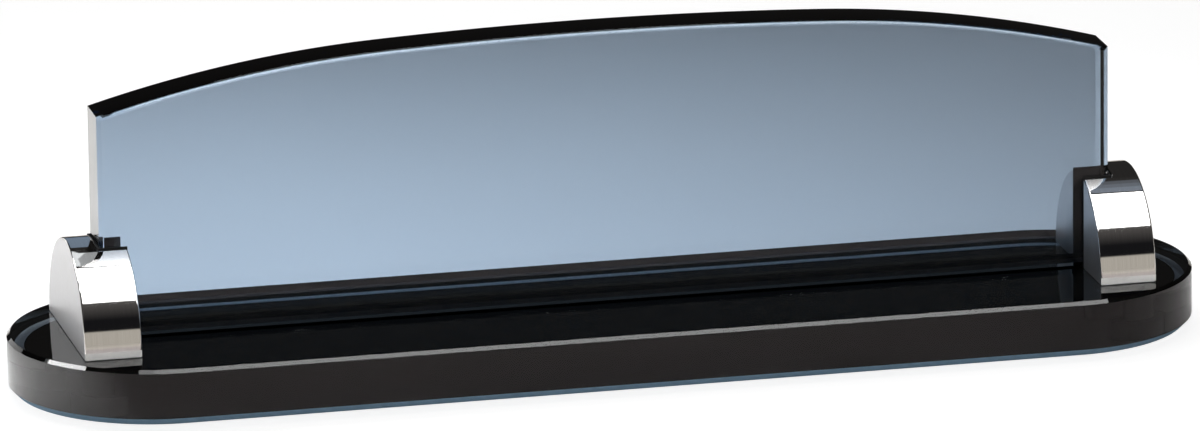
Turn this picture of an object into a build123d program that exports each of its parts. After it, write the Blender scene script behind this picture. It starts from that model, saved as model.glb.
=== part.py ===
from build123d import *

import os
from math import sqrt

# Desk name plate: an arched smoked-glass plate that stands upright in two half-round metal supports.
# The supports are screwed to a smoked-glass base with round ends, and felt lies under the base.
# Millimetres, +Z up, +X along the plate, the front towards -Y, the origin under the middle of the base.

# Base slab, a stadium seen from above
base_end_margin = 12.9
base_side_margin = 11.7
base_thickness = 12.5
base_top_bevel = 0.75
base_foot_bevel = 1.6

# Felt under the base
felt_thickness = 1.0
felt_inset = 5.5

# Glass name plate
plate_length = 227.6
plate_thickness = 12.0
plate_shoulder_height = 49.8
plate_arch_rise = 11.7
plate_bevel = 0.95
crown_half_span = 50.0
crown_radius = 1000.0

# Half-round supports
support_radius = 21.5
support_width = 12.7
support_edge_break = 0.25
plate_engagement = 6.05

# Soft pieces between glass and metal
liner_thickness = 0.45
liner_rise = 0.3
plate_clearance = 0.05
gasket_thickness = 0.2
gasket_inset = 0.2
seat_thickness = 0.4

# Screws that hold the supports, button heads with a hexagon socket
screw_diameter = 4.0
screw_length = 16.0
head_diameter = 7.6
head_height = 2.2
socket_across_flats = 2.5
socket_depth = 1.3
tip_chamfer = 0.4
thread_clearance = 0.05
tip_room = 1.2

# Flanged bushes that keep the screws off the glass
bush_wall = 0.9
bush_clearance = 0.1
bush_shortfall = 0.3
flange_diameter = 10.0
flange_thickness = 1.0
counterbore_clearance = 0.5
head_recess = 1.0

# Every cut runs this far past the face that it opens
overrun = 1.0

# Levels above the desk
base_foot = felt_thickness
base_top = base_foot + base_thickness
support_foot = base_top + gasket_thickness
plate_foot = base_top + seat_thickness

# Places along X, on the right-hand side
plate_end = plate_length / 2
inner_face = plate_end - plate_engagement
outer_face = inner_face + support_width
slot_end = plate_end + plate_clearance + liner_thickness
slot_width = plate_thickness + 2 * (plate_clearance + liner_thickness)

# The base stands out beyond the supports at its ends and sides
base_length = 2 * (outer_face + base_end_margin)
base_width = 2 * (support_radius + base_side_margin)

# Screw axes, in the middle of the support's width and of each of its two lugs
screw_x = inner_face + support_width / 2
screw_y = (slot_width / 2 + support_radius) / 2

# Holes in the glass for the bushes
bush_bore = screw_diameter + 2 * bush_clearance
bush_diameter = bush_bore + 2 * bush_wall
base_hole_diameter = bush_diameter + 2 * bush_clearance
counterbore_diameter = flange_diameter + 2 * counterbore_clearance
counterbore_depth = flange_thickness + head_height + head_recess
seat_of_head = base_foot + counterbore_depth - flange_thickness
screw_tip = seat_of_head + screw_length
liner_top = support_foot + sqrt(support_radius**2 - (slot_width / 2) ** 2) + liner_rise

SIDES = {"left": -1, "right": 1}
LUGS = {"front": -1, "back": 1}


def upright(radius, low, high, x=0.0, y=0.0):
    """A cylinder on a vertical axis, from one level to another."""
    return Pos(x, y, (low + high) / 2) * Cylinder(radius, high - low)


def block(x_span, y_span, z_span):
    """A box given by its two ends along each axis."""
    middles = [(low + high) / 2 for low, high in (x_span, y_span, z_span)]
    lengths = [high - low for low, high in (x_span, y_span, z_span)]
    return Pos(*middles) * Box(*lengths)


def on_side(shape, side):
    """Takes a piece of the right-hand support to the side that is asked for."""
    return shape if SIDES[side] > 0 else mirror(shape, about=Plane.YZ)


def base_slab():
    """Glass slab with round ends, arrised edges and four counterbored holes."""
    slab = Pos(0, 0, base_foot) * extrude(SlotOverall(base_length, base_width), base_thickness)
    slab = chamfer(slab.faces().sort_by(Axis.Z)[-1].edges(), base_top_bevel)
    slab = chamfer(slab.faces().sort_by(Axis.Z)[0].edges(), base_foot_bevel)
    for side in SIDES.values():
        for lug in LUGS.values():
            place = (side * screw_x, lug * screw_y)
            ceiling = base_foot + counterbore_depth
            slab -= upright(base_hole_diameter / 2, base_foot - overrun, base_top + overrun, *place)
            slab -= upright(counterbore_diameter / 2, base_foot - overrun, ceiling, *place)
    return slab


def base_felt():
    """Felt sheet that the slab stands on, set in from its edge."""
    outline = SlotOverall(base_length - 2 * felt_inset, base_width - 2 * felt_inset)
    return extrude(outline, felt_thickness)


def plate_outline():
    """Upright outline: straight sides under a three-centred arch, flat at the crown and rounder outside."""
    shoulder = plate_foot + plate_shoulder_height
    crown = shoulder + plate_arch_rise
    spring = crown - crown_radius + sqrt(crown_radius**2 - crown_half_span**2)
    middle = ThreePointArc((-crown_half_span, spring), (0, crown), (crown_half_span, spring))
    right = TangentArc(middle @ 1, (plate_end, shoulder), tangent=middle % 1)
    left = TangentArc(middle @ 0, (-plate_end, shoulder), tangent=(middle % 0) * -1)
    left_side = [(-plate_end, shoulder), (-plate_end, plate_foot)]
    right_side = [(plate_end, plate_foot), (plate_end, shoulder)]
    sides = Polyline(*left_side, *right_side)
    return make_face([*middle.edges(), *right.edges(), *left.edges(), *sides.edges()])


def name_plate():
    """Thick glass plate with an arched top and an arris all round its front and back faces."""
    plate = extrude(Plane.XZ * plate_outline(), plate_thickness / 2, both=True)
    faces = plate.faces().sort_by(Axis.Y)
    return chamfer([*faces[0].edges(), *faces[-1].edges()], plate_bevel)


def support():
    """Half-round block: a slot open at the top and towards the plate, and two tapped holes underneath."""
    arc = CenterArc((0, 0), support_radius, 0, 180)
    profile = make_face([*arc.edges(), *Line(arc @ 1, arc @ 0).edges()])
    body = Pos(inner_face, 0, support_foot) * extrude(Plane.YZ * profile, support_width)
    body = chamfer(body.edges().filter_by(GeomType.CIRCLE), support_edge_break)
    top = support_foot + support_radius + overrun
    half_slot = slot_width / 2
    body -= block((inner_face - overrun, slot_end), (-half_slot, half_slot), (support_foot - overrun, top))
    for lug in LUGS.values():
        hole = screw_diameter / 2 + thread_clearance
        body -= upright(hole, support_foot - overrun, screw_tip + tip_room, screw_x, lug * screw_y)
    return body


def support_gasket():
    """Thin pad between the support's foot and the glass, cut to the same outline."""
    half_depth = support_radius - gasket_inset
    level = (base_top, support_foot)
    half_slot = slot_width / 2 + gasket_inset
    pad = block((inner_face + gasket_inset, outer_face - gasket_inset), (-half_depth, half_depth), level)
    tall = (base_top - overrun, support_foot + overrun)
    pad -= block((inner_face - overrun, slot_end + gasket_inset), (-half_slot, half_slot), tall)
    for lug in LUGS.values():
        pad -= upright(bush_diameter / 2, *tall, screw_x, lug * screw_y)
    return pad


def slot_liner():
    """U-shaped channel that lines the slot round the end of the plate and stands a little proud of the lugs."""
    half_slot = slot_width / 2
    half_gap = half_slot - liner_thickness
    level = (base_top, liner_top)
    channel = block((inner_face, slot_end), (-half_slot, half_slot), level)
    tall = (base_top - overrun, liner_top + overrun)
    return channel - block((inner_face - overrun, slot_end - liner_thickness), (-half_gap, half_gap), tall)


def seat_pad():
    """Pad on the base that carries one end of the plate."""
    half_width = plate_thickness / 2 - plate_bevel
    return block((inner_face, plate_end - plate_bevel), (-half_width, half_width), (base_top, plate_foot))


def support_screw(lug):
    """Button-head screw driven up through the base into one lug of the support."""
    y = LUGS[lug] * screw_y
    head_foot = seat_of_head - head_height
    shank = upright(screw_diameter / 2, seat_of_head, screw_tip, screw_x, y)
    shank = chamfer(shank.edges().sort_by(Axis.Z)[-1], tip_chamfer)
    head = upright(head_diameter / 2, head_foot, seat_of_head, screw_x, y)
    head = fillet(head.edges().sort_by(Axis.Z)[0], head_height / 2)
    socket = RegularPolygon(socket_across_flats / 2, 6, major_radius=False)
    cut = Pos(screw_x, y, head_foot - overrun) * extrude(socket, socket_depth + overrun)
    return shank + head - cut


def screw_bush(lug):
    """Flanged bush round the screw, its flange between the screw's head and the glass."""
    y = LUGS[lug] * screw_y
    flange_top = seat_of_head + flange_thickness
    bush = upright(flange_diameter / 2, seat_of_head, flange_top, screw_x, y)
    bush += upright(bush_diameter / 2, seat_of_head, base_top - bush_shortfall, screw_x, y)
    return bush - upright(bush_bore / 2, seat_of_head - overrun, base_top + overrun, screw_x, y)


def all_pieces():
    """Every piece of the name plate by its name."""
    pieces = {"base_slab": base_slab(), "base_felt": base_felt(), "name_plate": name_plate()}
    for side in SIDES:
        pieces[f"{side}_support"] = on_side(support(), side)
        pieces[f"{side}_support_gasket"] = on_side(support_gasket(), side)
        pieces[f"{side}_slot_liner"] = on_side(slot_liner(), side)
        pieces[f"{side}_seat_pad"] = on_side(seat_pad(), side)
        for lug in LUGS:
            pieces[f"{side}_{lug}_screw"] = on_side(support_screw(lug), side)
            pieces[f"{side}_{lug}_screw_bush"] = on_side(screw_bush(lug), side)
    return pieces


os.makedirs("parts", exist_ok=True)
for name, piece in all_pieces().items():
    export_step(piece, f"parts/{name}.step")
    print(f"{name}: {len(piece.solids())} solid, {piece.volume:.0f} mm3")
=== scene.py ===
from math import acos, asin, cos, pi, radians, sin, sqrt

import bmesh
import bpy
from mathutils import Matrix, Vector


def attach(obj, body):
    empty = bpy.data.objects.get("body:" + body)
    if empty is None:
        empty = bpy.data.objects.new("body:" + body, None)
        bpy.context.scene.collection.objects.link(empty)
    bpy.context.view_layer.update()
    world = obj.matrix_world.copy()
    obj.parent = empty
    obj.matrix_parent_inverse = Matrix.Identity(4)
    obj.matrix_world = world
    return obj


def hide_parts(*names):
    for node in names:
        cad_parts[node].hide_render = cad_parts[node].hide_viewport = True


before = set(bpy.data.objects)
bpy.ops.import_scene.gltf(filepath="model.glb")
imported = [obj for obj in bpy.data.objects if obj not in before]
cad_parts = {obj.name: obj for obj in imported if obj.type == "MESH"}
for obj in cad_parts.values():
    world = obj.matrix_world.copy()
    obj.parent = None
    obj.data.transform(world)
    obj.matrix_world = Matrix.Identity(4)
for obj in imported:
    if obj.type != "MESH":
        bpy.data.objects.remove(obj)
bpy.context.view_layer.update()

# Looks of the desk name plate: glass plate and base, half-round metal supports, felt, soft pads and screws.
# Metres, +Z up, +X along the plate, the front towards -Y, the origin under the middle of the base.

mm = 0.001

# Base slab and the felt under it
base_end_margin = 12.9 * mm
base_side_margin = 11.7 * mm
base_thickness = 12.5 * mm
base_top_bevel = 0.75 * mm
base_foot_bevel = 1.6 * mm
glue_inset = 3.8 * mm
felt_thickness = 1.0 * mm
felt_inset = 5.5 * mm
felt_gap = 0.05 * mm
felt_rounding = 0.3 * mm

# Glass name plate
plate_length = 227.6 * mm
plate_thickness = 12.0 * mm
plate_shoulder_height = 49.8 * mm
plate_arch_rise = 11.7 * mm
plate_bevel = 0.95 * mm
crown_half_span = 50.0 * mm
crown_radius = 1000.0 * mm

# Half-round supports
support_radius = 21.5 * mm
support_width = 12.7 * mm
support_rounding = 0.5 * mm
foot_band = 1.5 * mm
plate_engagement = 6.05 * mm
tapped_hole_radius = 2.05 * mm
tapped_hole_top = 21.4 * mm

# Rubber and silicone between glass and metal
liner_thickness = 0.45 * mm
liner_rise = 0.3 * mm
plate_clearance = 0.05 * mm
gasket_thickness = 0.2 * mm
gasket_inset = 0.2 * mm
gasket_hole_radius = 3.0 * mm
seat_thickness = 0.4 * mm
rubber_rounding = 0.08 * mm

# Holes in the base for the bushes
bore_radius = 3.1 * mm
counterbore_radius = 5.5 * mm
counterbore_depth = 4.2 * mm
bush_gap = 0.02 * mm

# Depth of the fine relief on each surface
polish_depth = 0.004 * mm
satin_depth = 0.003 * mm
felt_depth = 0.2 * mm
rubber_depth = 0.02 * mm
steel_depth = 0.01 * mm
nylon_depth = 0.01 * mm

# Levels above the desk
base_foot = felt_thickness
base_top = base_foot + base_thickness
support_foot = base_top + gasket_thickness
plate_foot = base_top + seat_thickness
shoulder = plate_foot + plate_shoulder_height
crown = shoulder + plate_arch_rise
counterbore_top = base_foot + counterbore_depth + bush_gap

# Places along X, on the right-hand side
plate_end = plate_length / 2
inner_face = plate_end - plate_engagement
outer_face = inner_face + support_width
slot_end = plate_end + plate_clearance + liner_thickness
half_slot = plate_thickness / 2 + plate_clearance + liner_thickness
screw_x = inner_face + support_width / 2
screw_y = (half_slot + support_radius) / 2
liner_top = support_foot + sqrt(support_radius**2 - half_slot**2) + liner_rise

# The base stands out beyond the supports
base_half_length = outer_face + base_end_margin
base_half_width = support_radius + base_side_margin

# How finely curves and rounded edges are divided
end_steps = 96
crown_steps = 24
flank_steps = 32
lug_steps = 36
slot_steps = 18
hole_steps = 32
arris_segments = 1
edge_segments = 3
rubber_segments = 2

# What tells edges, faces and points apart
crisp_angle = radians(40)
sharp_angle = radians(30)
side_angle = radians(60)
facing_angle = radians(1)
flattening_angle = radians(0.2)
outline_gap = 0.01 * mm
merging_gap = 0.001 * mm

# Most of a noise pattern lies between these two values
noise_low = 0.3
noise_high = 0.7

# Floor, and the rim of the shadow painted on it round the base
floor_reach = 14.0
floor_drop = 0.2 * mm
painted_shadow_near = 1 * mm
painted_shadow_far = 8 * mm

# Lamps hang over the object in thin layers, because two that overlap in one plane hide each other
panel_height = 256 * mm
panel_layer = 2 * mm

# Axes by number and by direction
Y, Z = 1, 2
ALONG_X = (1, 0, 0)
ALONG_Y = (0, 1, 0)
ALONG_Z = (0, 0, 1)
UPWARDS = Vector((0, 0, 1))
DOWNWARDS = Vector((0, 0, -1))

# Plain colours, and the room's front wall, whose shade the floor takes up far out
WHITE = (1, 1, 1)
BLACK = (0, 0, 0)
FRONT_WALL = (0.45, 0.42, 0.37)

# The two supports, and the two lugs of each
SIDES = {"left": -1, "right": 1}
LUGS = {"front": -1, "back": 1}


# Drawing with bmesh

def new_verts(made):
    """The vertices among what an operator made."""
    return [part for part in made if isinstance(part, bmesh.types.BMVert)]


def new_edges(made):
    """The edges among what an operator made."""
    return [part for part in made if isinstance(part, bmesh.types.BMEdge)]


def new_faces(made):
    """The faces among what an operator made."""
    return [part for part in made if isinstance(part, bmesh.types.BMFace)]


def run_to(bm, start, place):
    """A straight run of an outline, from its last point to a place."""
    point = bm.verts.new(place)
    bm.edges.new((start, point))
    return point


def arc_from(bm, start, centre, axis, angle, steps):
    """An arc of an outline, turned from its last point."""
    turned = bmesh.ops.spin(bm, geom=[start], cent=centre, axis=axis, angle=angle, steps=steps)
    return new_verts(turned["geom_last"])[0]


def fill_outline(bm):
    """Closes the outlines that are drawn and fills each of them."""
    bmesh.ops.remove_doubles(bm, verts=bm.verts[:], dist=outline_gap)
    bmesh.ops.edgenet_fill(bm, edges=bm.edges[:])


def pull(bm, faces, by):
    """Extrudes faces by a vector."""
    made = bmesh.ops.extrude_face_region(bm, geom=faces)["geom"]
    bmesh.ops.translate(bm, verts=new_verts(made), vec=by)


def turn_outward(bm):
    """Merges doubles, then points every face outwards."""
    bmesh.ops.remove_doubles(bm, verts=bm.verts[:], dist=merging_gap)
    bmesh.ops.recalc_face_normals(bm, faces=bm.faces[:])


def bevel_edges(bm, edges, width, segments):
    """Bevels edges, flat with one segment and round with more."""
    bmesh.ops.bevel(
        bm, geom=edges, offset=width, offset_type="OFFSET", segments=segments, profile=0.5,
        affect="EDGES", clamp_overlap=True, material=-1,
    )


def sharp_edges(bm):
    """The edges at which two faces meet at an angle."""
    return [edge for edge in bm.edges if edge.is_manifold and edge.calc_face_angle() > sharp_angle]


def edges_at_level(bm, axis, level):
    """The edges that lie in one plane square to an axis."""
    return [edge for edge in bm.edges if all(abs(v.co[axis] - level) < merging_gap for v in edge.verts)]


def hole_ring(bm, radius, x, y, z):
    """A ring of edges for a hole on an upright axis."""
    made = bmesh.ops.create_circle(
        bm, segments=hole_steps, radius=radius, matrix=Matrix.Translation((x, y, z)),
    )
    return list({edge for vert in made["verts"] for edge in vert.link_edges})


def fill_round_rings(bm, face, rings):
    """Fills a flat face again, with holes where the rings are."""
    rim = face.edges[:]
    bmesh.ops.delete(bm, geom=[face], context="FACES_ONLY")
    edges = rim + [edge for ring in rings for edge in ring]
    return new_faces(bmesh.ops.triangle_fill(bm, use_beauty=True, edges=edges)["geom"])


def flat_face(bm, direction):
    """The largest face that looks along a direction."""
    looking = [face for face in bm.faces if face.normal.dot(direction) > cos(facing_angle)]
    return max(looking, key=lambda face: face.calc_area())


def set_finish(faces, finishes, finish):
    """Gives faces one of their piece's finishes."""
    for face in faces:
        face.material_index = finishes.index(finish)


def stadium_outline(bm, half_length, half_width, level):
    """Outline with round ends, drawn from the front left and filled."""
    middle = half_length - half_width
    start = bm.verts.new((-middle, -half_width, level))
    front = run_to(bm, start, (middle, -half_width, level))
    back = arc_from(bm, front, (middle, 0, level), ALONG_Z, pi, end_steps)
    far = run_to(bm, back, (-middle, half_width, level))
    arc_from(bm, far, (-middle, 0, level), ALONG_Z, pi, end_steps)
    fill_outline(bm)


def outline_through(bm, places, level):
    """Closed outline through places in plan."""
    first = last = bm.verts.new((*places[0], level))
    for place in places[1:]:
        last = run_to(bm, last, (*place, level))
    bm.edges.new((last, first))


def take_to_side(bm, side):
    """Mirrors a right-hand shape where it belongs on the left, and points its faces outwards."""
    bmesh.ops.scale(bm, vec=(SIDES[side], 1, 1), verts=bm.verts[:])
    turn_outward(bm)


def place_piece(name, bm, finishes, body, nodes, rounded=False):
    """Turns a drawn shape into a finished piece that stands for its nodes and rides on a body."""
    mesh = bpy.data.meshes.new(name)
    bm.to_mesh(mesh)
    bm.free()
    mesh.polygons.foreach_set("use_smooth", [True] * len(mesh.polygons))
    mesh.set_sharp_from_angle(angle=crisp_angle)
    for finish in finishes:
        mesh.materials.append(finish)
    piece = bpy.data.objects.new(name, mesh)
    bpy.context.scene.collection.objects.link(piece)
    if rounded:
        shading = piece.modifiers.new("even_shading", "WEIGHTED_NORMAL")
        shading.keep_sharp = True
    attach(piece, body)
    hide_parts(*nodes)
    return piece


# Pieces

def name_plate(glass, ground):
    """Thick plate with a three-centred arch on top, soft arrises at its front and back and a ground foot."""
    bm = bmesh.new()
    front = -plate_thickness / 2
    crown_centre = crown - crown_radius
    crown_turn = asin(crown_half_span / crown_radius)
    spring = crown_centre + crown_radius * cos(crown_turn)

    # The flank's arc goes on from the crown's and ends at the shoulder, so its centre is on the same line
    chord = Vector((plate_end - crown_half_span, shoulder - spring))
    outward = Vector((sin(crown_turn), cos(crown_turn)))
    flank_radius = -chord.length_squared / (2 * chord.dot(outward))
    flank_x = crown_half_span - flank_radius * outward.x
    flank_z = spring - flank_radius * outward.y
    flank_turn = asin((plate_end - flank_x) / flank_radius) - crown_turn

    start = bm.verts.new((-crown_half_span, front, spring))
    top = arc_from(bm, start, (0, front, crown_centre), ALONG_Y, 2 * crown_turn, crown_steps)
    right = arc_from(bm, top, (flank_x, front, flank_z), ALONG_Y, flank_turn, flank_steps)
    right_foot = run_to(bm, right, (plate_end, front, plate_foot))
    left_foot = run_to(bm, right_foot, (-plate_end, front, plate_foot))
    left = run_to(bm, left_foot, (-plate_end, front, shoulder))
    arc_from(bm, left, (-flank_x, front, flank_z), ALONG_Y, flank_turn, flank_steps)
    fill_outline(bm)
    pull(bm, bm.faces[:], (0, plate_thickness, 0))
    turn_outward(bm)
    rims = edges_at_level(bm, Y, front) + edges_at_level(bm, Y, -front)
    bevel_edges(bm, rims, plate_bevel, arris_segments)
    turn_outward(bm)

    # The foot is ground and painted near black as shade, apart from its front arris
    finishes = [glass, ground]
    foot = [face for face in bm.faces if face.calc_center_median().z < plate_foot + plate_bevel]
    set_finish([face for face in foot if face.normal.y > -sin(sharp_angle)], finishes, ground)
    piece = place_piece("plate", bm, finishes, "plate", ["name_plate"], rounded=True)

    # The arris is polished round along the top of the front face
    for edge in piece.data.edges:
        ends = [piece.data.vertices[end].co for end in edge.vertices]
        if all(end.y < 0 and end.z > shoulder for end in ends):
            edge.use_edge_sharp = False


def base_slab(glass, adhesive, arris):
    """Round-ended slab with arrised edges and four counterbored holes, black where the felt is glued on."""
    bm = bmesh.new()
    finishes = [glass, adhesive, arris]
    stadium_outline(bm, base_half_length, base_half_width, base_foot)
    pull(bm, bm.faces[:], (0, 0, base_thickness))
    turn_outward(bm)
    bevel_edges(bm, edges_at_level(bm, Z, base_top), base_top_bevel, arris_segments)
    bevel_edges(bm, edges_at_level(bm, Z, base_foot), base_foot_bevel, arris_segments)

    # The arris at the foot is ground, pale blue outside partly as painted light and black inside as painted
    # shade, and inside it the underside has a clear rim round the glue
    set_finish([face for face in bm.faces if face.normal.z < -sin(sharp_angle)], finishes, arris)
    glued = flat_face(bm, DOWNWARDS)
    set_finish([glued], finishes, glass)
    bmesh.ops.inset_region(bm, faces=[glued], thickness=glue_inset - base_foot_bevel, use_even_offset=True)

    top_rings = []
    foot_rings = []
    for side in SIDES.values():
        for lug in LUGS.values():
            place = (side * screw_x, lug * screw_y)
            top_ring = hole_ring(bm, bore_radius, *place, base_top)
            bore_ring = hole_ring(bm, bore_radius, *place, counterbore_top)
            step_ring = hole_ring(bm, counterbore_radius, *place, counterbore_top)
            foot_ring = hole_ring(bm, counterbore_radius, *place, base_foot)
            for upper, lower in ((top_ring, bore_ring), (bore_ring, step_ring), (step_ring, foot_ring)):
                walls = bmesh.ops.bridge_loops(bm, edges=upper + lower)["faces"]
                set_finish(walls, finishes, adhesive)
            top_rings.append(top_ring)
            foot_rings.append(foot_ring)
    fill_round_rings(bm, flat_face(bm, UPWARDS), top_rings)
    set_finish(fill_round_rings(bm, glued, foot_rings), finishes, adhesive)
    turn_outward(bm)
    place_piece("base", bm, finishes, "stand", ["base_slab"])


def base_felt(felt):
    """Felt sheet under the base, its cut edge rounded by wear."""
    bm = bmesh.new()
    half_length = base_half_length - felt_inset
    half_width = base_half_width - felt_inset
    height = felt_thickness - felt_gap
    stadium_outline(bm, half_length, half_width, 0)
    pull(bm, bm.faces[:], (0, 0, height))
    turn_outward(bm)
    bevel_edges(bm, sharp_edges(bm), felt_rounding, edge_segments)
    turn_outward(bm)
    piece = place_piece("felt", bm, [felt], "stand", ["base_felt"], rounded=True)


def support(side, polished, satin, ground):
    """Half-round block with a slot for the plate's end and two tapped holes underneath."""
    bm = bmesh.new()
    axis = (slot_end, 0, support_foot)
    lug_turn = acos(half_slot / support_radius)
    wall_top = support_foot + support_radius * sin(lug_turn)

    # Half disc in three fields: the front lug, the end of the slot and the back lug
    front = bm.verts.new((slot_end, -support_radius, support_foot))
    front_wall = arc_from(bm, front, axis, ALONG_X, -lug_turn, lug_steps)
    back_wall = arc_from(bm, front_wall, axis, ALONG_X, -(pi - 2 * lug_turn), slot_steps)
    back = arc_from(bm, back_wall, axis, ALONG_X, -lug_turn, lug_steps)
    back_corner = run_to(bm, back, (slot_end, half_slot, support_foot))
    front_corner = run_to(bm, back_corner, (slot_end, -half_slot, support_foot))
    run_to(bm, front_corner, front.co)
    run_to(bm, front_corner, (slot_end, -half_slot, wall_top))
    run_to(bm, back_corner, (slot_end, half_slot, wall_top))
    fill_outline(bm)

    # The whole half disc is pulled outwards, then the two lugs inwards on both sides of the slot
    fields = bm.faces[:]
    lugs = [face for face in fields if abs(face.calc_center_median().y) > half_slot]
    pull(bm, fields, (outer_face - slot_end, 0, 0))
    for lug in lugs:
        pull(bm, [lug], (inner_face - slot_end, 0, 0))
    turn_outward(bm)
    bmesh.ops.dissolve_limit(bm, angle_limit=flattening_angle, verts=bm.verts[:], edges=bm.edges[:])

    # Every edge is rounded but those of the foot
    foot_edges = edges_at_level(bm, Z, support_foot)
    rounded_edges = [edge for edge in sharp_edges(bm) if edge not in foot_edges]
    bevel_edges(bm, rounded_edges, support_rounding, edge_segments)

    places = [(screw_x, lug * screw_y, support_foot) for lug in LUGS.values()]
    rings = [hole_ring(bm, tapped_hole_radius, *place) for place in places]
    fill_round_rings(bm, flat_face(bm, DOWNWARDS), rings)
    for ring in rings:
        made = bmesh.ops.extrude_edge_only(bm, edges=ring)["geom"]
        bmesh.ops.translate(bm, verts=new_verts(made), vec=(0, 0, tapped_hole_top - support_foot))
        bmesh.ops.contextual_create(bm, geom=new_edges(made))
    take_to_side(bm, side)

    # Only the round face is polished, and a narrow band at its foot is ground and painted brighter as a
    # highlight
    finishes = [polished, satin, ground]
    for face in bm.faces:
        middle = face.calc_center_median()
        from_axis = Vector((middle.y, middle.z - support_foot)).length
        if from_axis <= support_radius - support_rounding or abs(face.normal.x) >= sin(side_angle):
            set_finish([face], finishes, satin)
        elif middle.z < support_foot + foot_band:
            set_finish([face], finishes, ground)
        else:
            set_finish([face], finishes, polished)
    name = f"{side}_half_round"
    node = f"{side}_support"
    place_piece(name, bm, finishes, "stand", [node], rounded=True)


def moulded_pad(name, side, bm, height, finish, node):
    """Gives a filled outline its height and soft edges and takes it to its side."""
    pull(bm, bm.faces[:], (0, 0, height))
    turn_outward(bm)
    bevel_edges(bm, sharp_edges(bm), rubber_rounding, rubber_segments)
    take_to_side(bm, side)
    place_piece(f"{side}_{name}", bm, [finish], "stand", [f"{side}_{node}"], rounded=True)


def slot_liner(side, rubber):
    """U-shaped channel round the end of the plate."""
    bm = bmesh.new()
    half_gap = half_slot - liner_thickness
    gap_end = slot_end - liner_thickness
    outline_through(bm, [
        (inner_face, -half_slot), (slot_end, -half_slot), (slot_end, half_slot), (inner_face, half_slot),
        (inner_face, half_gap), (gap_end, half_gap), (gap_end, -half_gap), (inner_face, -half_gap),
    ], base_top)
    fill_outline(bm)
    moulded_pad("channel", side, bm, liner_top - base_top, rubber, "slot_liner")


def support_gasket(side, silicone):
    """Thin pad under the support, open where the plate stands, with two holes for the bushes."""
    bm = bmesh.new()
    half_depth = support_radius - gasket_inset
    half_opening = half_slot + gasket_inset
    near = inner_face + gasket_inset
    far = outer_face - gasket_inset
    opening_end = slot_end + gasket_inset
    outline_through(bm, [
        (near, -half_depth), (far, -half_depth), (far, half_depth), (near, half_depth),
        (near, half_opening), (opening_end, half_opening),
        (opening_end, -half_opening), (near, -half_opening),
    ], base_top)
    for lug in LUGS.values():
        hole_ring(bm, gasket_hole_radius, screw_x, lug * screw_y, base_top)
    bmesh.ops.triangle_fill(bm, use_beauty=True, edges=bm.edges[:])
    moulded_pad("gasket", side, bm, gasket_thickness, silicone, "support_gasket")


def seat_pad(side, rubber):
    """Pad on the base under one end of the plate."""
    bm = bmesh.new()
    half_width = plate_thickness / 2 - plate_bevel
    far = plate_end - plate_bevel
    outline_through(bm, [
        (inner_face, -half_width), (far, -half_width), (far, half_width), (inner_face, half_width),
    ], base_top)
    fill_outline(bm)
    moulded_pad("pad", side, bm, seat_thickness, rubber, "seat_pad")


# Nodes that finishes and the studio share

def grey(level):
    """A colour without a tint."""
    return (level, level, level)


def first_node(tree, kind):
    """The first node of a kind in a tree."""
    return next(node for node in tree.nodes if node.type == kind)


def maths(tree, operation, first, second=0.0):
    """A sum on two values, each a plain number or what another node gives out."""
    node = tree.nodes.new("ShaderNodeMath")
    node.operation = operation
    for value, socket in zip((first, second), node.inputs):
        if isinstance(value, bpy.types.NodeSocket):
            tree.links.new(value, socket)
        else:
            socket.default_value = value
    return node.outputs["Value"]


def ranged(tree, source, low, high, start=noise_low, end=noise_high):
    """A pattern taken from its own range to another."""
    node = tree.nodes.new("ShaderNodeMapRange")
    node.inputs["From Min"].default_value = start
    node.inputs["From Max"].default_value = end
    node.inputs["To Min"].default_value = low
    node.inputs["To Max"].default_value = high
    tree.links.new(source, node.inputs["Value"])
    return node.outputs["Result"]


def fade(tree, source, first, last, target):
    """Feeds a colour socket with a change between two colours, each given with its place on a scale.

    Gives back the socket of the second colour, which another change can feed in its turn.
    """
    mixed = tree.nodes.new("ShaderNodeMix")
    mixed.data_type = "RGBA"
    tree.links.new(ranged(tree, source, 0.0, 1.0, first[0], last[0]), mixed.inputs["Factor"])
    mixed.inputs["A"].default_value = (*first[1], 1)
    mixed.inputs["B"].default_value = (*last[1], 1)
    tree.links.new(mixed.outputs["Result"], target)
    return mixed.inputs["B"]


def mix_shaders(tree, share, first, second):
    """One shader or the other, by a share."""
    mixed = tree.nodes.new("ShaderNodeMixShader")
    tree.links.new(share, mixed.inputs["Fac"])
    tree.links.new(first, mixed.inputs[1])
    tree.links.new(second, mixed.inputs[2])
    return mixed.outputs["Shader"]


def distance_from(tree, place, middle):
    """How far each point lies from a middle."""
    away = tree.nodes.new("ShaderNodeVectorMath")
    away.operation = "DISTANCE"
    away.inputs[1].default_value = middle
    tree.links.new(place, away.inputs[0])
    return away.outputs["Value"]


def add_glow(tree, surface, place, middle, near, far):
    """A surface with a glow that changes from near to far, each a distance from the middle and a colour."""
    glow = tree.nodes.new("ShaderNodeEmission")
    fade(tree, distance_from(tree, place, middle), near, far, glow.inputs["Color"])
    both = tree.nodes.new("ShaderNodeAddShader")
    tree.links.new(surface, both.inputs[0])
    tree.links.new(glow.outputs["Emission"], both.inputs[1])
    return both.outputs["Shader"]


# Finishes

def new_finish(name):
    """A material with its node tree, its shader and the piece's own coordinates."""
    material = bpy.data.materials.new(name)
    material.use_nodes = True
    tree = material.node_tree
    shader = first_node(tree, "BSDF_PRINCIPLED")
    place = tree.nodes.new("ShaderNodeTexCoord").outputs["Object"]
    return material, tree, shader, place


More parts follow.
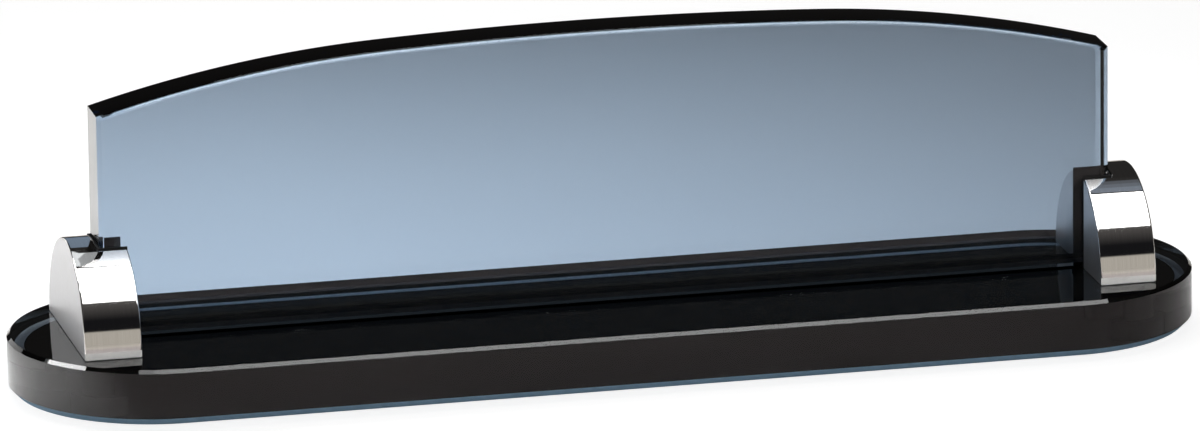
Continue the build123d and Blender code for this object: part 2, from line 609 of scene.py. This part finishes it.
def grain(tree, place, repeats, detail=3.0):
    """Noise over the piece, with so many repeats in each metre along each axis."""
    mapping = tree.nodes.new("ShaderNodeMapping")
    mapping.inputs["Scale"].default_value = repeats
    noise = tree.nodes.new("ShaderNodeTexNoise")
    noise.inputs["Scale"].default_value = 1.0
    noise.inputs["Detail"].default_value = detail
    tree.links.new(place, mapping.inputs["Vector"])
    tree.links.new(mapping.outputs["Vector"], noise.inputs["Vector"])
    return noise.outputs["Fac"]


def shades(tree, pattern, dark, light):
    """Two shades by a pattern."""
    ramp = tree.nodes.new("ShaderNodeValToRGB")
    ramp.color_ramp.elements[0].position = noise_low
    ramp.color_ramp.elements[0].color = (*dark, 1)
    ramp.color_ramp.elements[1].position = noise_high
    ramp.color_ramp.elements[1].color = (*light, 1)
    tree.links.new(pattern, ramp.inputs["Fac"])
    return ramp.outputs["Color"]


def relief(tree, pattern, depth, shader):
    """Gives a surface a bump of a given depth."""
    bump = tree.nodes.new("ShaderNodeBump")
    bump.inputs["Strength"].default_value = 1.0
    bump.inputs["Distance"].default_value = depth
    tree.links.new(pattern, bump.inputs["Height"])
    tree.links.new(bump.outputs["Normal"], shader.inputs["Normal"])


def grained_finish(name, repeats, dark, light, roughness, even=None, bump=None):
    """A finish whose shade and roughness follow one grain.

    Other sockets are even all over, and a bump is given by its repeats and its depth.
    """
    material, tree, shader, place = new_finish(name)
    pattern = grain(tree, place, repeats)
    tree.links.new(shades(tree, pattern, dark, light), shader.inputs["Base Color"])
    tree.links.new(ranged(tree, pattern, *roughness), shader.inputs["Roughness"])
    for socket, value in (even or {}).items():
        shader.inputs[socket].default_value = value
    if bump:
        bump_repeats, depth = bump
        relief(tree, grain(tree, place, bump_repeats), depth, shader)
    return material


def smoked_glass(name, density):
    """Grey-blue glass whose tone comes from its depth, with faint wipe marks on its polish."""
    material, tree, shader, place = new_finish(name)
    shader.inputs["Base Color"].default_value = (*WHITE, 1)
    shader.inputs["IOR"].default_value = 1.52
    shader.inputs["Transmission Weight"].default_value = 1.0
    wipes = grain(tree, place, repeats=(18, 40, 90))
    wiped = ranged(tree, wipes, low=0.0, high=0.012, start=0.45, end=0.8)
    tree.links.new(wiped, shader.inputs["Roughness"])
    absorption = tree.nodes.new("ShaderNodeVolumeAbsorption")
    absorption.inputs["Color"].default_value = (0.218, 0.429, 0.624, 1)
    absorption.inputs["Density"].default_value = density
    output = first_node(tree, "OUTPUT_MATERIAL")
    tree.links.new(absorption.outputs["Volume"], output.inputs["Volume"])
    return material


def ground_glass_painted_dark():
    """Foot of the plate, ground, and painted near black as shade."""
    return grained_finish(
        "ground_foot_painted_shade", repeats=(900, 4000, 4000), dark=(0.004, 0.005, 0.006), light=(0.012, 0.014, 0.017),
        roughness=(0.6, 0.8), even={"Specular IOR Level": 0.2},
    )


def ground_arris_painted_light_and_shade():
    """Edge of the glass, ground matt: it scatters the light outside in a pale blue that is partly painted
    light coming through the glass, and is painted black as shade from inside the glass.
    """
    material, tree, shader, place = new_finish("ground_arris_painted_light_and_shade")
    scratches = grain(tree, place, repeats=(900, 4000, 4000))
    faces = tree.nodes.new("ShaderNodeMix")
    faces.data_type = "RGBA"
    # Painted shade: black where the arris is seen from inside the glass
    faces.inputs["B"].default_value = (*grey(0.002), 1)
    inside = tree.nodes.new("ShaderNodeNewGeometry").outputs["Backfacing"]
    tree.links.new(inside, faces.inputs["Factor"])
    # Pale blue outside, partly the glass's tint and partly painted light
    outside = shades(tree, scratches, dark=(0.3, 0.5, 0.7), light=(0.36, 0.57, 0.77))
    tree.links.new(outside, faces.inputs["A"])
    tree.links.new(faces.outputs["Result"], shader.inputs["Base Color"])
    tree.links.new(ranged(tree, scratches, low=0.6, high=0.8), shader.inputs["Roughness"])
    return material


def black_adhesive():
    """Black glue between the glass and the felt, a little uneven where it was spread."""
    return grained_finish(
        "black_adhesive", repeats=(120, 500, 500), dark=grey(0.001), light=grey(0.003),
        roughness=(0.5, 0.7), even={"Specular IOR Level": 0.0},
    )


def black_felt():
    """Pressed wool fibres."""
    material, tree, shader, place = new_finish("pressed_felt")
    fibres = grain(tree, place, repeats=(2500, 2500, 2500), detail=6.0)
    wool = shades(tree, fibres, dark=(0.008, 0.008, 0.009), light=(0.03, 0.03, 0.032))
    tree.links.new(wool, shader.inputs["Base Color"])
    shader.inputs["Roughness"].default_value = 0.95
    shader.inputs["Sheen Weight"].default_value = 0.35
    relief(tree, fibres, felt_depth, shader)
    return material


def polished_metal():
    """Mirror finish with fine lines round the curve."""
    return grained_finish(
        "polished_round_face", repeats=(6000, 60, 60), dark=(0.80, 0.79, 0.78), light=(0.88, 0.87, 0.86),
        roughness=(0.04, 0.07), even={"Metallic": 1.0}, bump=((400, 120, 120), polish_depth),
    )


def satin_metal():
    """Flat faces left satin from fine grinding."""
    return grained_finish(
        "satin_flat_face", repeats=(900, 900, 900), dark=(0.52, 0.52, 0.53), light=(0.6, 0.6, 0.61),
        roughness=(0.32, 0.44), even={"Metallic": 1.0}, bump=((5000, 5000, 5000), satin_depth),
    )


def matt_metal_painted_bright():
    """Foot of the round face, left matt from grinding, with a brighter metal colour as a painted highlight.
    """
    return grained_finish(
        "ground_round_foot_painted_highlight", repeats=(900, 900, 900), dark=(0.9, 0.9, 0.89), light=(0.95, 0.95, 0.94),
        roughness=(0.8, 0.9), even={"Metallic": 1.0},
    )


def clear_silicone():
    """Clear pad, a little cloudy."""
    return grained_finish(
        "clear_silicone", repeats=(500, 500, 500), dark=(0.8, 0.82, 0.84), light=(0.9, 0.91, 0.92),
        roughness=(0.4, 0.5), even={"IOR": 1.41, "Transmission Weight": 0.3},
    )


def black_rubber():
    """Matt rubber with a fine moulded grain."""
    speckle = (1800, 1800, 1800)
    return grained_finish(
        "moulded_rubber", repeats=speckle, dark=grey(0.006), light=(0.014, 0.013, 0.013),
        roughness=(0.55, 0.75), even={"Specular IOR Level": 0.2}, bump=(speckle, rubber_depth),
    )


def blackened_steel():
    """Steel with a black oxide finish, thinner in places."""
    return grained_finish(
        "blackened_steel", repeats=(700, 700, 700), dark=(0.09, 0.09, 0.095), light=(0.2, 0.2, 0.21),
        roughness=(0.32, 0.5), even={"Metallic": 1.0}, bump=((1500, 1500, 9000), steel_depth),
    )


def black_nylon():
    """Turned nylon with faint tool lines."""
    lines = (300, 300, 8000)
    return grained_finish(
        "turned_nylon", repeats=lines, dark=(0.016, 0.016, 0.017), light=(0.032, 0.032, 0.034),
        roughness=(0.4, 0.55), bump=(lines, nylon_depth),
    )


# Studio

def pale_paper():
    """Paper that takes the light and the shadow, and glows a little where it is seen; its colour also holds
    a painted shadow along the base, painted fall-off of light to the right and to the front, and painted
    pools of light that only metal shows.
    """
    material, tree, paper, place = new_finish("pale_floor")
    paper.inputs["Roughness"].default_value = 1.0
    paper.inputs["Specular IOR Level"].default_value = 0.0
    split = tree.nodes.new("ShaderNodeSeparateXYZ")
    tree.links.new(place, split.inputs["Vector"])

    # Each pair is a place, from the middle of the object, and the shade there: a painted shadow along the
    # base, and past it a painted fall-off of light towards the right
    aside = maths(tree, "ABSOLUTE", split.outputs["Y"])
    painted_shadow_at_base = (base_half_width + painted_shadow_near, grey(0.35))
    clear = (base_half_width + painted_shadow_far, WHITE)
    outside = fade(tree, aside, painted_shadow_at_base, clear, paper.inputs["Base Color"])
    left = (-0.04, grey(0.92))
    right = (0.17, grey(0.7))
    fade(tree, split.outputs["X"], left, right, outside)
    # Paper as metal sees it, painted darker towards the front as shade
    shaded = tree.nodes.new("ShaderNodeBsdfDiffuse")
    front = (-0.06, (0.62, 0.56, 0.56))
    back = (0.03, grey(0.9))
    fade(tree, split.outputs["Y"], front, back, shaded.inputs["Color"])

    # Near white to the camera, and pale far out through glass and in metal
    # A glow has a middle, then a near and a far distance from it, each with a colour
    pale = tree.nodes.new("ShaderNodeBsdfDiffuse")
    pale.inputs["Color"].default_value = (*grey(0.28), 1)
    plain = paper.outputs["BSDF"]
    under = (0, 0, 0)
    behind = (-0.16, 0.2, 0)
    left_end = (-0.165, -0.01, 0)
    camera_glow = (under, (0.3, grey(0.86)), (1.2, WHITE))
    glass_glow = (under, (0.35, BLACK), (1.2, grey(0.9)))
    wide_glow = (under, (0.14, BLACK), (0.4, FRONT_WALL))
    # Painted pools of light on the paper, behind the object and at its left end, that only metal shows
    rear_painted_light_pool = (behind, (0.05, grey(0.55)), (0.12, BLACK))
    end_painted_light_pool = (left_end, (0.02, grey(1.3)), (0.06, BLACK))
    seen = add_glow(tree, pale.outputs["BSDF"], place, *camera_glow)
    through_glass = add_glow(tree, plain, place, *glass_glow)
    in_metal = shaded.outputs["BSDF"]
    for glow in (wide_glow, rear_painted_light_pool, end_painted_light_pool):
        in_metal = add_glow(tree, in_metal, place, *glow)
    path = tree.nodes.new("ShaderNodeLightPath")
    look = mix_shaders(tree, path.outputs["Is Glossy Ray"], plain, in_metal)
    look = mix_shaders(tree, path.outputs["Is Transmission Ray"], look, through_glass)
    look = mix_shaders(tree, path.outputs["Is Camera Ray"], look, seen)
    tree.links.new(look, first_node(tree, "OUTPUT_MATERIAL").inputs["Surface"])
    return material


def pale_floor():
    """Wide floor just under the felt."""
    bm = bmesh.new()
    bmesh.ops.create_grid(bm, x_segments=1, y_segments=1, size=floor_reach)
    bmesh.ops.translate(bm, verts=bm.verts[:], vec=(0, 0, -floor_drop))
    mesh = bpy.data.meshes.new("floor")
    bm.to_mesh(mesh)
    bm.free()
    mesh.materials.append(pale_paper())
    floor = bpy.data.objects.new("floor", mesh)
    bpy.context.scene.collection.objects.link(floor)


def studio_world():
    """White behind the object for the camera and low down through the glass, a dark room in reflections."""
    world = bpy.data.worlds.new("studio")
    bpy.context.scene.world = world
    world.use_nodes = True
    tree = world.node_tree
    room = first_node(tree, "BACKGROUND")

    # The room runs along X: its shade depends on the angle from the front horizon over the top to the back
    split = tree.nodes.new("ShaderNodeSeparateXYZ")
    tree.links.new(tree.nodes.new("ShaderNodeTexCoord").outputs["Generated"], split.inputs["Vector"])
    forward = maths(tree, "MULTIPLY", split.outputs["Y"], -1.0)
    angle = maths(tree, "ARCTAN2", split.outputs["Z"], forward)
    half_turns = maths(tree, "DIVIDE", angle, pi)
    shadow = (0.008, 0.008, 0.009)
    dusk = (0.08, 0.075, 0.072)
    back_wall = (0.022, 0.021, 0.02)
    ramp = tree.nodes.new("ShaderNodeValToRGB")
    stops = ramp.color_ramp.elements
    stops[0].position = 0.0
    stops[0].color = (*FRONT_WALL, 1)
    stops[1].position = 1.0
    stops[1].color = (*back_wall, 1)
    for degrees, shade in ((16, FRONT_WALL), (17.5, shadow), (30, shadow), (49, dusk), (130, back_wall)):
        stops.new(radians(degrees) / pi).color = (*shade, 1)
    tree.links.new(half_turns, ramp.inputs["Fac"])
    tree.links.new(ramp.outputs["Color"], room.inputs["Color"])

    # Through glass only a low backdrop is white, and the room above it is as dark as in reflections
    white = tree.nodes.new("ShaderNodeBackground")
    white.inputs["Color"].default_value = (*WHITE, 1)
    backdrop_top = sin(radians(8))
    room_foot = sin(radians(12))
    path = tree.nodes.new("ShaderNodeLightPath")
    backdrop = ranged(tree, split.outputs["Z"], 1.0, 0.0, backdrop_top, room_foot)
    through_glass = maths(tree, "MULTIPLY", backdrop, path.outputs["Is Transmission Ray"])
    seen = maths(tree, "MAXIMUM", path.outputs["Is Camera Ray"], through_glass)
    look = mix_shaders(tree, seen, room.outputs["Background"], white.outputs["Background"])
    tree.links.new(look, first_node(tree, "OUTPUT_WORLD").inputs["Surface"])


# Where a lamp shows
ON_MATT = ("diffuse",)
IN_REFLECTIONS = ("glossy",)
THROUGH_GLASS = ("transmission",)

# Spans along X and Y of the softbox's two panels
FRONT_PANEL = ((-0.13, 0.24), (-0.204, 0.02))
REAR_PANEL = ((-0.8, 0.164), (0.038, 0.18))

# Panels overhead: spans along X and Y, layer, radiance, colour and where they show
OVERHEAD_PANELS = {
    "front_panel": (*FRONT_PANEL, 0, 1.4, WHITE, ON_MATT + IN_REFLECTIONS + THROUGH_GLASS),
    "rear_panel": (*REAR_PANEL, 0, 4.0, WHITE, ON_MATT),
    "front_shine": (*FRONT_PANEL, 1, 3.6, WHITE, IN_REFLECTIONS),
    "rear_shine": (*REAR_PANEL, 3, 0.9, (0.93, 0.97, 1), IN_REFLECTIONS),
    "rear_through": (*REAR_PANEL, 1, 0.6, WHITE, THROUGH_GLASS),
    "left_shine": ((-0.36, -0.27), (0.0, 0.17), 2, 15.0, WHITE, IN_REFLECTIONS),
    "corner_shine": ((-0.33, -0.218), (-0.09, -0.06), 2, 9.0, WHITE, IN_REFLECTIONS),
    "edge_shine": ((-0.196, -0.15), (-0.056, -0.03), 2, 6.0, WHITE, IN_REFLECTIONS),
    "line_shine": ((-0.165, -0.13), (-0.125, -0.088), 2, 3.6, WHITE, IN_REFLECTIONS),
    "near_dusk": ((0.166, 0.3), (0.03, 0.062), 2, 0.24, (0.66, 0.8, 1), IN_REFLECTIONS),
    "mid_dusk": ((0.166, 0.3), (0.062, 0.09), 2, 0.16, (0.68, 0.81, 1), IN_REFLECTIONS),
    "far_dusk": ((0.166, 0.3), (0.09, 0.12), 2, 0.1, (0.72, 0.83, 1), IN_REFLECTIONS),
}

# Cards behind the object: spans along X and Z, place along Y, radiance, colour and where they show
STANDING_CARDS = {
    "blue_card": ((-0.118, -0.09), (0.04, 0.075), 0.04, 0.27, (0.55, 0.74, 1), ON_MATT + IN_REFLECTIONS),
    "white_card": ((-0.32, -0.14), (0.04, 0.12), 0.2, 1.1, WHITE, IN_REFLECTIONS),
}


def light_panel(name, centre, size, turn, radiance, colour, shown):
    """Glowing rectangle that the camera doesn't see."""
    light = bpy.data.lights.new(name, "AREA")
    light.shape = "RECTANGLE"
    light.size = size[0]
    light.size_y = size[1]
    light.energy = radiance * pi * size[0] * size[1]
    light.color = colour
    lamp = bpy.data.objects.new(name, light)
    lamp.location = centre
    lamp.rotation_euler = turn
    lamp.visible_camera = False
    lamp.visible_diffuse = "diffuse" in shown
    lamp.visible_glossy = "glossy" in shown
    lamp.visible_transmission = "transmission" in shown
    bpy.context.scene.collection.objects.link(lamp)


def studio_lights():
    """Softbox overhead in two panels, and the panels and cards that place highlights in glass and metal."""
    looking_down = (0, 0, 0)
    looking_forward = (-pi / 2, 0, 0)
    for name, (x_span, y_span, layer, radiance, colour, shown) in OVERHEAD_PANELS.items():
        centre = (sum(x_span) / 2, sum(y_span) / 2, panel_height + layer * panel_layer)
        size = (x_span[1] - x_span[0], y_span[1] - y_span[0])
        light_panel(name, centre, size, looking_down, radiance, colour, shown)
    for name, (x_span, z_span, y, radiance, colour, shown) in STANDING_CARDS.items():
        centre = (sum(x_span) / 2, y, sum(z_span) / 2)
        size = (x_span[1] - x_span[0], z_span[1] - z_span[0])
        light_panel(name, centre, size, looking_forward, radiance, colour, shown)


def photo_camera():
    """Long lens a little above and to the left of the object."""
    azimuth = radians(-12.917)
    elevation = radians(15.349)
    roll = radians(-0.684)
    target = Vector((-0.686 * mm, 0, 31.92 * mm))
    distance = 2578.3 * mm
    back = Vector((sin(azimuth) * cos(elevation), -cos(azimuth) * cos(elevation), sin(elevation)))
    level_right = Vector((cos(azimuth), sin(azimuth), 0))
    level_up = back.cross(level_right)
    right = level_right * cos(roll) + level_up * sin(roll)
    up = level_up * cos(roll) - level_right * sin(roll)
    lens = bpy.data.cameras.new("camera")
    lens.lens = 351.29
    lens.sensor_width = 36.0
    lens.sensor_fit = "HORIZONTAL"
    lens.clip_end = 60.0
    camera = bpy.data.objects.new("camera", lens)
    turned = Matrix((right, up, back)).transposed().to_4x4()
    camera.matrix_world = Matrix.Translation(target + back * distance) @ turned
    bpy.context.scene.collection.objects.link(camera)
    bpy.context.scene.camera = camera


# The finished object

scene = bpy.context.scene
scene.view_settings.view_transform = "Standard"
scene.cycles.max_bounces = 24
scene.cycles.glossy_bounces = 16
scene.cycles.transmission_bounces = 24

plate_glass = smoked_glass("plate_glass_finish", density=100.0)
base_glass = smoked_glass("base_glass_finish", density=46.0)
polished = polished_metal()
satin = satin_metal()
ground = matt_metal_painted_bright()
rubber = black_rubber()
silicone = clear_silicone()
steel = blackened_steel()
nylon = black_nylon()

name_plate(plate_glass, ground_glass_painted_dark())
base_slab(base_glass, black_adhesive(), ground_arris_painted_light_and_shade())
base_felt(black_felt())
for side in SIDES:
    support(side, polished, satin, ground)
    slot_liner(side, rubber)
    support_gasket(side, silicone)
    seat_pad(side, rubber)
    for lug in LUGS:
        for node, finish in ((f"{side}_{lug}_screw", steel), (f"{side}_{lug}_screw_bush", nylon)):
            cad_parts[node].material_slots[0].material = finish

pale_floor()
studio_world()
studio_lights()
photo_camera()
